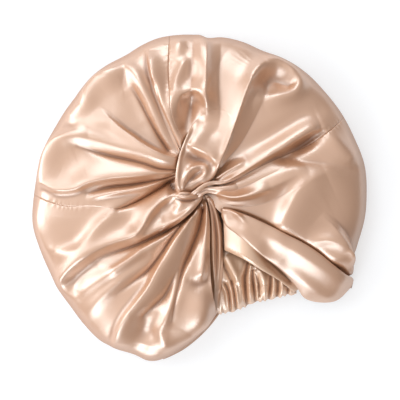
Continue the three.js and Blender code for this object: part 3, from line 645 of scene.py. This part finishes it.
# Left edge of the mouth: pleats from the knot to the bottom
leftBand = {
    "wall": 1.1,
    "look": {"rollA": 2.5, "rollB": 4.5, "across": 26, "flatness": 3, "deep": 2.2},
    "stations": [
        (204, 195, 208, 195, 39, 39, 1), (207, 201, 213, 200, 38.5, 38, 1.5),
        (208.5, 208, 216, 208, 37.5, 36.5, 2), (209.5, 216, 219, 216, 36.5, 34.6, 2),
        (210, 228, 221.5, 226, 35.4, 32.2, 2.2), (210, 245, 222.7, 242, 33.5, 30, 2.2),
        (209.5, 262, 223, 258, 31, 27.6, 2.2), (210.5, 275, 222.5, 275, 28.4, 24.6, 2),
        (211, 288, 221, 288, 25.4, 22, 2), (212, 300, 219, 300, 21.4, 19, 1.8),
        (213.5, 310, 217.5, 310, 17, 16, 1.4), (214, 316, 216, 316, 11, 11, 0.8),
    ],
    "folds": [
        ("pleatTwo", 2.6, 1.8, [(208, 200, 1), (211, 212, 2.2), (212.7, 230, 3), (213.2, 250, 3.2),
            (214, 268, 3), (215, 282, 2), (215, 300, 1)]),
        ("pleatThree", 1.6, 2.4, [(209.5, 199, 1), (215.5, 212, 2), (219, 230, 2.6), (220, 250, 2.6),
            (219.5, 270, 2), (218.5, 290, 1)]),
        ("pleatGap", 1.1, 1.1, [(210, 202, -1.4), (213.6, 214, -2.4), (216.2, 232, -3), (216.8, 250, -3),
            (217, 266, -2), (217, 280, -0.6)]),
    ],
}

# Right front band: outer strip, hem and the ruched casing
outerBand = {
    "wall": 1.2,
    "look": {"rollA": 1.6, "rollB": 3.4, "across": 60, "deep": 2.4, "between": 10, "flatness": 3},
    "stations": [
        (222, 208.6, 221, 216, 42, 39, 0.6), (229, 208.8, 226, 226, 44, 42, 1.6),
        (239, 212.2, 235, 233, 46, 45, 2.4), (249, 216, 245, 241, 47.4, 46.6, 2.6),
        (260, 221, 256, 250.5, 47.6, 45.2, 2.8), (270, 225.8, 266, 258.5, 46.4, 40.6, 3),
        (280, 230.8, 275.4, 265.4, 45.4, 37, 3.4), (290, 236, 283.6, 272.4, 44, 33.4, 3.4),
        (300, 241, 291, 280, 43, 30, 3.8), (310, 247, 297.5, 288.4, 41.4, 26, 4.2),
        (320, 254, 303.4, 297.2, 39, 21.5, 4.6), (330, 262, 312, 301.3, 35.6, 18, 5),
        (340, 270, 322, 302.8, 31, 15, 5.4), (346.5, 274.6, 330, 302.6, 26, 13.4, 5.4),
        (351.4, 277, 336.4, 301.2, 19, 11.5, 5), (353.8, 279.6, 342, 297.8, 14.4, 10, 4.4),
        (353.6, 283, 346, 293.8, 11, 9, 3.4), (352.6, 286, 348.4, 291.2, 8.8, 8, 1.8),
        (351.4, 288, 350, 289.8, 7.6, 7.4, 0.4),
    ],
    "folds": [
        ("curl", 1.4, 2.0, [(222, 210, 0.8), (229, 210.6, 1.4), (236, 213.6, 1.6), (242, 217.6, 0.6)]),
        ("curlHollow", 5, 5, [(226, 215, -0.4), (232, 218.6, -1.4), (239, 224, -1)]),
        ("curlLight", 2.4, 3.4, [(232, 213.6, 0.4), (237.4, 215.6, 1.6), (243, 220, 1.2), (247, 225, 0.2)]),
        ("longRidge", 8, 10, [(262, 231, 0), (276, 239, 2.2), (294, 250, 3.4), (312, 262, 3.4),
            (328, 273, 2.8), (344, 285, 1)]),
        ("tipRidge", 7, 6, [(288, 268, 0), (300, 279, 1.6), (313, 289, 2.4), (326, 297, 1.6)]),
        ("innerDip", 8, 9, [(246, 228, 0), (258, 238, -1.4), (270, 248, -1.4), (282, 258, 0)]),
    ],
}
hemBand = {
    "wall": 1.6,
    "look": {"rollA": 2, "rollB": 1.8, "across": 40, "deep": 2, "flatness": 3},
    "stations": [
        (223, 214, 224.4, 250, 34, 32, 1), (228, 219, 228.4, 251.6, 36.6, 34.4, 1.4),
        (236, 226, 235, 254.6, 40.6, 38, 1.6), (245, 234, 243, 258.6, 43.8, 41, 1.8),
        (255, 243, 252, 264, 43, 40, 2), (265, 251, 261, 269.6, 38.6, 36.8, 2),
        (275, 258, 270.5, 275, 33.4, 32, 2), (285, 266, 280, 281.2, 27.6, 26.4, 2),
        (295, 276, 288, 287.4, 21.6, 20.4, 1.6), (302, 287, 294, 293, 14.6, 13, 1),
    ],
    "folds": [
        ("hemRidge", 4, 2.4, [(225, 247.4, 0.6), (240, 254, 1), (258, 264.6, 1), (276, 276.6, 0.8),
            (290, 286.4, 0.5)]),
        ("hemGap", 4.2, 4.2, [(250, 245.6, -1), (262, 256, -4), (272, 264, -7.6), (281, 272, -8),
            (290, 280.4, -5)]),
    ],
}
casingBand = {
    "wall": 1.2,
    "look": {"rollA": 1.5, "rollB": 4, "across": 64, "between": 12, "deep": 1.2, "flatness": 3.4,
             "foldGain": 1.4, "scallop": 0.9},
    "stations": [
        (214, 253, 214.5, 315, 17, 10, 6), (222, 250, 223.5, 313.8, 19, 10, 8),
        (231, 249, 232.6, 312, 20, 10, 8.5), (239, 253, 240, 309.4, 20, 10, 8.5),
        (246, 257, 247, 306.6, 20, 10, 8.5), (253, 260, 252.5, 303.4, 19, 10, 8.5),
        (260, 264, 259.5, 302, 18, 10, 8.5), (268, 268.5, 267, 300.6, 16, 9.6, 8),
        (275, 273, 274, 298.8, 14, 9, 7.5), (282, 278, 281, 297.4, 12, 8.4, 7),
        (289, 283, 288.5, 295.4, 10, 7.6, 6), (297, 288, 297, 295, 6, 5.5, 4),
    ],
    "folds": [
        ("stitchLine", 5, 5, [(216, 284, -0.8), (226, 284.5, -1.2), (238, 286, -1.2), (247, 285, -1.2),
            (257, 285.5, -1), (268, 286.5, -0.8), (280, 288.5, -0.4)]),
        ("diagonalPuff", 5, 5, [(226, 259, 2), (231, 268, 3.5), (237, 279, 3.5), (241, 288, 3),
            (242, 302, 2.5)]),
        ("diagonalCrease", 2, 2, [(223, 264, -3), (228, 274, -3.5), (232.5, 283, -3)]),
        ("puckerOne", 1.5, 1.5, [(222, 284, 1), (226, 293, 2.6), (227.5, 302, 2.6), (228, 311, 1.6)]),
        ("creaseOne", 1.2, 1.2, [(225, 284, -2), (228.5, 292, -2.6), (230, 303, -2.6), (230.6, 311, -2)]),
        ("puckerTwo", 1.5, 1.5, [(229, 282, 1.5), (231.5, 292, 2.8), (232.6, 303, 2.6), (233, 310, 1.6)]),
        ("creaseTwo", 1.1, 1.1, [(231.5, 282, -1.5), (234, 292, -2.4), (235.5, 303, -2.4),
            (236, 310, -1.8)]),
        ("puckerThree", 1.6, 1.6, [(234, 283, 1.5), (236.6, 292, 2.4), (238, 303, 2.4), (238.4, 308, 1.6)]),
        ("deepCrease", 2.3, 2.3, [(248, 262, -4), (246.5, 270, -5), (244.8, 279, -5), (245.4, 292, -5),
            (246.4, 305, -3.5)]),
        ("puffTwo", 2.2, 2.2, [(250.6, 266, 2), (249.2, 278, 3), (249.8, 292, 3), (250.6, 302, 2)]),
        ("creaseThree", 1.3, 1.3, [(252.6, 270, -2.5), (253, 280, -3.4), (254.6, 292, -3),
            (255.6, 301, -2.2)]),
        ("puffThree", 1.6, 1.6, [(254.6, 272, 2), (256, 281, 2.4), (257.2, 292, 2), (257.6, 300, 1.4)]),
        ("creaseFour", 1.1, 1.1, [(255.5, 274, -1.8), (258.4, 284, -2.2), (259.2, 296, -2)]),
        ("puffFour", 4.5, 4.5, [(261, 272, 2.4), (264, 281, 2.8), (265, 291, 2.8), (264.4, 299, 2)]),
        ("creaseFive", 1.3, 1.3, [(270.8, 276, -3), (270.6, 284, -3.4), (269.8, 292, -3),
            (269.4, 299, -2)]),
        ("puffFive", 2.4, 2.4, [(274, 278, 2), (274, 288, 2.6), (273.4, 297, 2)]),
        ("creaseSix", 1.2, 1.2, [(278, 280, -2.6), (277.8, 289, -3), (277, 296, -2.2)]),
        ("puffSix", 3, 3, [(282, 282, 2), (282.6, 289, 2.4), (282, 296, 1.8)]),
        ("creaseSeven", 1.1, 1.1, [(287.5, 285, -2), (288.4, 290, -2.6), (288, 294, -2)]),
        ("puffSeven", 1.8, 1.8, [(290.6, 287, 1.4), (291, 291, 1.8), (290.6, 294, 1.2)]),
    ],
}

# Back layer, flat on the surface. A row: turn in degrees, reach from the knot, height of the edge
backLayer = {
    "wall": 1.2,
    "outSteps": 70,
    "turnSteps": 360,
    "height": 2.0,
    "ripple": 3.3,
    "rippleWaves": (7, 2.4, 3, 1),
    "edgeFrom": 0.93,  # share of the way out where it starts to rise to its edge
    "edgeSpan": 0.06,
    "rows": [
        (0, 147, 2.4), (20, 145, 2.4), (40, 143, 2.4), (60, 141, 2.4), (80, 142, 2.4), (100, 146, 2.4),
        (120, 145, 2.4), (145, 147, 2.4), (165, 151, 2.4), (182, 156, 2.4), (200, 159, 2.4),
        (220, 160, 2.4), (235, 165, 2.4), (246, 163, 2.4), (251, 170, 2.6), (256, 171.5, 3),
        (262, 158.5, 3), (268, 143.5, 3), (273, 131, 3), (277, 121, 3.4), (281, 110, 4), (286, 84, 5),
        (294, 76, 6), (302, 82, 6.5), (309, 103, 6), (314, 124, 5), (320, 142, 4), (328, 150, 2.6),
        (338, 148, 2.4), (349, 147, 2.4),
    ],
}


def backPiece():
    look = backLayer
    rows = np.array(look["rows"] + [(360.0,) + look["rows"][0][1:]], float)
    degrees = np.linspace(0, 360, look["turnSteps"] + 1)
    out, degrees = np.meshgrid(np.linspace(0, 1, look["outSteps"] + 1), degrees, indexing="ij")
    reach, edge = (np.interp(degrees, rows[:, 0], rows[:, i]) for i in (1, 2))
    turn = np.radians(degrees)
    u, v = roundKnot(out * reach, turn)
    many, slant, few, shift = look["rippleWaves"]
    ripple = look["ripple"] * out * (1 - out) * np.sin(many * turn + slant * out) * np.sin(few * turn + shift)
    rise = (edge - look["height"]) * np.clip((out - look["edgeFrom"]) / look["edgeSpan"], 0, 1)
    piece = gridPiece("crownBack", place(u, v, look["height"] + ripple + rise))
    bpy.ops.object.mode_set(mode="EDIT")
    bpy.ops.mesh.select_all(action="SELECT")
    bpy.ops.mesh.remove_doubles(threshold=0.00001)
    bpy.ops.object.mode_set(mode="OBJECT")
    return piece


# Materials
class Sock:  # wraps a socket so that arithmetic adds Math nodes
    def __init__(self, shader, out):
        self.shader = shader
        self.out = out

    def maths(self, operation, other, swapped=False):
        first, second = (other, self) if swapped else (self, other)
        return self.shader.node("ShaderNodeMath", {"operation": operation}, i0=first, i1=second)

    def __add__(self, other):
        return self.maths("ADD", other)

    def __sub__(self, other):
        return self.maths("SUBTRACT", other)

    def __rsub__(self, other):
        return self.maths("SUBTRACT", other, True)

    def __mul__(self, other):
        return self.maths("MULTIPLY", other)

    def __pow__(self, other):
        return self.maths("POWER", other)

    __radd__ = __add__
    __rmul__ = __mul__


class Shader:  # the nodes of a material or world, with one method that adds any node
    def __init__(self, owner):
        owner.use_nodes = True
        self.tree = owner.node_tree
        self.tree.nodes.clear()

    def node(self, kind, settings=None, output=0, **inputs):
        node = self.tree.nodes.new(kind)
        for key, value in (settings or {}).items():
            setattr(node, key, value)
        for key, value in inputs.items():
            numbered = key[0] == "i" and key[1:].isdigit()
            slot = node.inputs[int(key[1:]) if numbered else key.replace("_", " ")]
            if isinstance(value, Sock):
                self.tree.links.new(value.out, slot)
            else:
                slot.default_value = value
        return None if output is None else Sock(self, node.outputs[output])

    def mix(self, factor, low, high, blend="MIX"):  # of two colours
        settings = {"data_type": "RGBA", "blend_type": blend}
        return self.node("ShaderNodeMix", settings, output=2, Factor=factor, i6=low, i7=high)


def linear(*colour):  # screen colour, 0 to 255, to Blender's linear one
    parts = [((x / 255 + 0.055) / 1.055) ** 2.4 if x > 10 else x / 3294.6 for x in colour]
    return (*parts, 1.0)


satinLook = {
    "light": linear(191, 140, 104),
    "deep": linear(181, 128, 92),
    # Painted shade: the colour is multiplied by this in creases and on rolled edges
    "crease": (0.7, 0.55, 0.45, 1.0),
    "shade": (0.16, 0.065, 0.028, 1.0),  # painted shade: a dark cloth mixed in deep inside a crease and on rolled edges
    "shadeShare": 0.6,
    "shadeRoughness": 0.8,
    "shadeIor": 1.3,
    "roughness": 0.36,
    "grainRoughness": 0.06,
    "creaseRoughness": 0.15,
    "ior": 4.0,
    "sheenTint": (1.0, 0.93, 0.87, 1.0),
    "cloud": (28.0, 3.0, 0.55),  # a noise's scale, detail and roughness
    "grain": (900.0, 2.0, 0.6),
    "ripple": (60.0, 4.0, 0.5),
    "threads": {"X": 520.0, "Y": 416.0},  # waves of the weave, about 0.6 mm apart
    "threadWarp": 0.6,
    "weave": 0.05,
    "slubs": 0.12,
    "ripples": 0.5,
    "bump": (0.1, 0.0012),  # strength and distance
}
# Painted light: a lighter copy of the satin for the shaded hem and casing
brightSatinLook = {**satinLook, "light": linear(222, 180, 146), "deep": linear(212, 166, 132)}
threadLook = {
    "light": linear(226, 190, 160),
    "deep": linear(204, 160, 128),
    "roughness": 0.55,
    "twist": 900.0,
    "bump": (0.3, 0.0002),
}


def satin(name, look):
    material = bpy.data.materials.new(name)
    shader = Shader(material)
    coords = shader.node("ShaderNodeTexCoord", output=3)

    def noise(key):
        scale, detail, rough = look[key]
        return shader.node("ShaderNodeTexNoise", Vector=coords, Scale=scale, Detail=detail, Roughness=rough)

    def wave(axis):
        return shader.node("ShaderNodeTexWave", {"bands_direction": axis}, output=1, Vector=coords,
                           Scale=look["threads"][axis], Distortion=look["threadWarp"])

    tint = shader.mix(noise("cloud"), look["deep"], look["light"])
    # Painted shade from the mesh attribute darkens the colour and mixes in a dark cloth
    crease = shader.node("ShaderNodeAttribute", {"attribute_name": "crease"}, output=2)
    tint = shader.mix(crease, tint, look["crease"], "MULTIPLY")
    grain = noise("grain")
    weave = (wave("X") + wave("Y")) * look["weave"]
    height = grain * look["slubs"] + noise("ripple") * look["ripples"] + weave
    strength, distance = look["bump"]
    bump = shader.node("ShaderNodeBump", Strength=strength, Distance=distance, Height=height)
    rough = look["roughness"] + look["grainRoughness"] * (grain - 0.5) + look["creaseRoughness"] * crease
    cloth = shader.node("ShaderNodeBsdfPrincipled", Base_Color=tint, Roughness=rough, Normal=bump,
                        IOR=look["ior"], Specular_Tint=look["sheenTint"])
    shade = shader.node("ShaderNodeBsdfPrincipled", Base_Color=look["shade"],
                        Roughness=look["shadeRoughness"], IOR=look["shadeIor"])
    surface = shader.node("ShaderNodeMixShader", i0=crease * look["shadeShare"], i1=cloth, i2=shade)
    shader.node("ShaderNodeOutputMaterial", output=None, Surface=surface)
    return material


def thread(look):
    material = bpy.data.materials.new("thread")
    shader = Shader(material)
    coords = shader.node("ShaderNodeTexCoord", output=3)
    twist = shader.node("ShaderNodeTexWave", {"bands_direction": "DIAGONAL"}, output=1, Vector=coords,
                        Scale=look["twist"])
    strength, distance = look["bump"]
    bump = shader.node("ShaderNodeBump", Strength=strength, Distance=distance, Height=twist)
    tint = shader.mix(twist, look["deep"], look["light"])
    surface = shader.node("ShaderNodeBsdfPrincipled", Base_Color=tint, Roughness=look["roughness"],
                          Normal=bump)
    shader.node("ShaderNodeOutputMaterial", output=None, Surface=surface)
    return material


def dress(piece, material):
    piece.data.materials.clear()
    piece.data.materials.append(material)


def thicken(piece, wall):  # the wall grows inwards, then the modifier is applied
    solid = piece.modifiers.new("wall", "SOLIDIFY")
    solid.thickness = wall * mm
    solid.offset = -1
    solid.use_quality_normals = True
    bpy.context.view_layer.objects.active = piece
    bpy.ops.object.modifier_apply(modifier=solid.name)


def finishCloth(piece, node, wall, slot="satin"):
    thicken(piece, wall)
    dress(piece, cloths[slot])
    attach(piece, "root")
    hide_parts(node)


# Rows of stitches. A row: name, the piece that it lies on, and its line as right and down
stitching = {
    "pitch": 3.0,
    "length": 2.2,
    "width": 0.55,
    "sides": 6,
    "rings": 4,
    "from": 90.0,  # height that each is dropped from onto its cloth
    "rows": [
        ("hemStitches", "frontBandHem", [(227, 247), (236, 250.8), (246, 256), (256, 261.6), (266, 267.6),
            (276, 274), (284, 279.6)]),
        ("casingStitches", "elasticCasing", [(225, 284), (236, 285.6), (248, 284.6), (258, 285), (270, 286),
            (284, 288.6)]),
    ],
}


def stitchRow(name, cloth, points):
    look = stitching
    line = smoothLine(points, 12)
    steps = lengthAlong(line)
    bpy.ops.object.select_all(action="DESELECT")
    bpy.ops.mesh.primitive_uv_sphere_add(segments=look["sides"], ring_count=look["rings"], radius=0.5)
    first = bpy.context.object  # one stitch, then copies of it
    first.name = name
    ball = np.zeros(len(first.data.vertices) * 3)
    first.data.vertices.foreach_get("co", ball)
    ball = ball.reshape(-1, 3)
    row = []
    for along in np.arange(look["pitch"], steps[-1], look["pitch"]):
        u, v = (np.interp([along, along + 0.5], steps, line[:, i]) for i in (0, 1))
        hit, spot, normal, _ = cloth.ray_cast(tuple(place(u[0], v[0], look["from"])), (0, 0, -1))
        if not hit:
            continue
        up = np.array(normal)
        ahead = np.array([u[1] - u[0], v[0] - v[1], 0.0])
        ahead -= up * ahead.dot(up)
        ahead /= np.linalg.norm(ahead)
        axes = np.stack([np.cross(up, ahead) * look["width"], up * look["width"], ahead * look["length"]])
        stitch = first.copy()
        stitch.data = first.data.copy()
        bpy.context.scene.collection.objects.link(stitch)
        stitch.data.vertices.foreach_set("co", (ball @ axes * mm + np.array(spot)).ravel())
        row.append(stitch)
    bpy.data.objects.remove(first)
    for stitch in row:
        stitch.select_set(True)
    bpy.context.view_layer.objects.active = row[0]
    bpy.ops.object.join()
    bpy.ops.object.shade_smooth()
    joined = bpy.context.object
    joined.name = name
    joined.data.name = name
    dress(joined, threadCloth)
    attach(joined, "root")
    return joined


print("materials")
cloths = {"satin": satin("satin", satinLook), "satin_inside": satin("satinBrightened", brightSatinLook)}
threadCloth = thread(threadLook)

print("crown")
for name, node, fromEdge, toEdge in crownPanels["panels"]:
    finishCloth(crownPanel(name, fromEdge, toEdge), node, puff["wall"])
finishCloth(backPiece(), "crown_back", backLayer["wall"])

print("twist, knot and mouth")
for name, part, node, slot in [
    ("twistUpperLeaf", upperLeaf, "twist_upper_leaf", "satin"),
    ("twistLowerLeaf", lowerLeaf, "twist_lower_leaf", "satin"),
    ("knotStrandUpper", upperStrand, "knot_strand_upper", "satin"),
    ("knotStrandLower", lowerStrand, "knot_strand_lower", "satin"),
    ("frontBandLeft", leftBand, "front_band_left", "satin"),
    ("frontBandOuter", outerBand, "front_band_outer", "satin"),
    ("frontBandHem", hemBand, "front_band_hem", "satin_inside"),  # painted light: a lighter copy of the satin for the hem and casing, which lie in shade inside the mouth
    ("elasticCasing", casingBand, "elastic_casing", "satin_inside"),
]:
    finishCloth(strip(name, part), node, part["wall"], slot)

print("stitches")
rows = {on: stitchRow(name, bpy.data.objects[on], points) for name, on, points in stitching["rows"]}

print("stage")
paperLook = {  # a light table
    "side": 6.0,
    "below": 0.0005,
    "white": (0.42, 0.44, 0.47, 1.0),
    "roughness": 0.9,
    "glowTint": (1.0, 1.0, 1.0, 1.0),
    "glow": 0.58,
}
bpy.ops.object.select_all(action="DESELECT")
bpy.ops.mesh.primitive_plane_add(size=paperLook["side"], location=(0, 0, -paperLook["below"]))
floor = bpy.context.object
floor.name = "floor"
paper = bpy.data.materials.new("paper")
shader = Shader(paper)
surface = shader.node("ShaderNodeBsdfPrincipled", Base_Color=paperLook["white"],
                      Roughness=paperLook["roughness"], Emission_Color=paperLook["glowTint"],
                      Emission_Strength=paperLook["glow"])
shader.node("ShaderNodeOutputMaterial", output=None, Surface=surface)
dress(floor, paper)

studio = {
    "tint": (1.0, 0.93, 0.87, 1.0),
    "lampTint": (0.92, 0.97, 1.0),
    "dome": {"towards": (-0.35, 0.3, 0.89), "power": 1.1, "gain": 0.66, "least": 0.275},  # dark low down
    "lights": [  # name, place in metres, size, watts
        ("leftBox", (-1.4, 0.2, 0.72), 1.0, 11.5),
        ("topBox", (-0.3, 1.4, 0.8), 0.9, 8.0),
        ("lowBox", (-0.46, -1.31, 0.82), 0.9, 12.0),
        ("highBox", (-0.75, 0.6, 1.35), 0.6, 2.2),
    ],
}
world = bpy.data.worlds.new("studio")
shader = Shader(world)
dome = studio["dome"]
direction = shader.node("ShaderNodeTexCoord")
facing = shader.node("ShaderNodeVectorMath", {"operation": "DOT_PRODUCT"}, output=1,
                     i0=direction, i1=dome["towards"])
strength = facing.maths("MAXIMUM", 0.0) ** dome["power"] * dome["gain"] + dome["least"]
sky = shader.node("ShaderNodeBackground", Color=studio["tint"], Strength=strength)
shader.node("ShaderNodeOutputWorld", output=None, Surface=sky)
bpy.context.scene.world = world
for name, spot, size, watts in studio["lights"]:
    data = bpy.data.lights.new(name, "AREA")
    data.shape = "SQUARE"
    data.size = size
    data.energy = watts
    data.color = studio["lampTint"]
    lamp = bpy.data.objects.new(name, data)
    lamp.location = spot
    tilt = math.acos(spot[2] / math.hypot(*spot))
    lamp.rotation_euler = (tilt, 0, math.atan2(-spot[1], -spot[0]) - math.pi / 2)
    bpy.context.scene.collection.objects.link(lamp)

view = {"height": 2.5, "back": 0.001, "frameWidth": 0.4, "sensor": 36.0, "focusHeight": 0.02}
cameraData = bpy.data.cameras.new("camera")
cameraData.sensor_width = view["sensor"]
cameraData.lens = view["sensor"] * (view["height"] - view["focusHeight"]) / view["frameWidth"]
camera = bpy.data.objects.new("camera", cameraData)
camera.location = (0, -view["back"], view["height"])
bpy.context.scene.collection.objects.link(camera)
bpy.context.scene.camera = camera
bpy.context.scene.view_settings.view_transform = "Standard"
